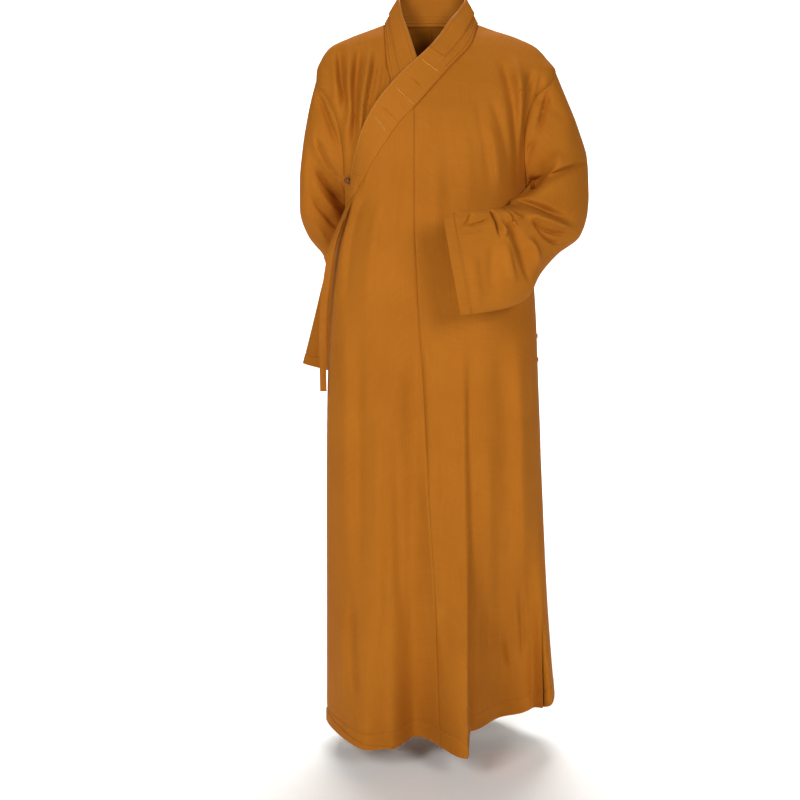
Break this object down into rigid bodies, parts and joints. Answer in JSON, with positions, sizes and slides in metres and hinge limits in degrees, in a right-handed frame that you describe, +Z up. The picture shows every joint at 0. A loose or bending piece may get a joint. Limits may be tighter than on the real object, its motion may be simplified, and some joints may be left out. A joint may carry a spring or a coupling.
{
  "type": "meditation robe",
  "caption": "Ankle-length cross-over robe in plain cloth, worn form, with wide sleeves, a banded collar and a side tie.",
  "frame": {"origin": "base of the neck, level with the tops of the shoulders, where the wearer holds the robe up", "axes": "+Z up along the robe, +X towards the wearer's left, -Y the front"},
  "size_m": [0.5592, 0.4486, 1.4582],
  "materials": {
    "robe_cloth": "plain weave, slight sheen",
    "collar_cloth": "plain weave, layered and stitched",
    "ribbon_cloth": "plain weave ribbon",
    "knot_cord": "twisted cord knot"
  },
  "bodies": {
    "root": {"front_left": "robe_cloth", "front_overlap": "robe_cloth", "front_right": "robe_cloth", "back_left": "robe_cloth", "back_right": "robe_cloth", "sleeve_left": "robe_cloth", "sleeve_right": "robe_cloth", "collar_band": "collar_cloth", "collar_guard": "collar_cloth", "tie": "ribbon_cloth", "knot_button": "knot_cord"}
  },
  "joints": []
}
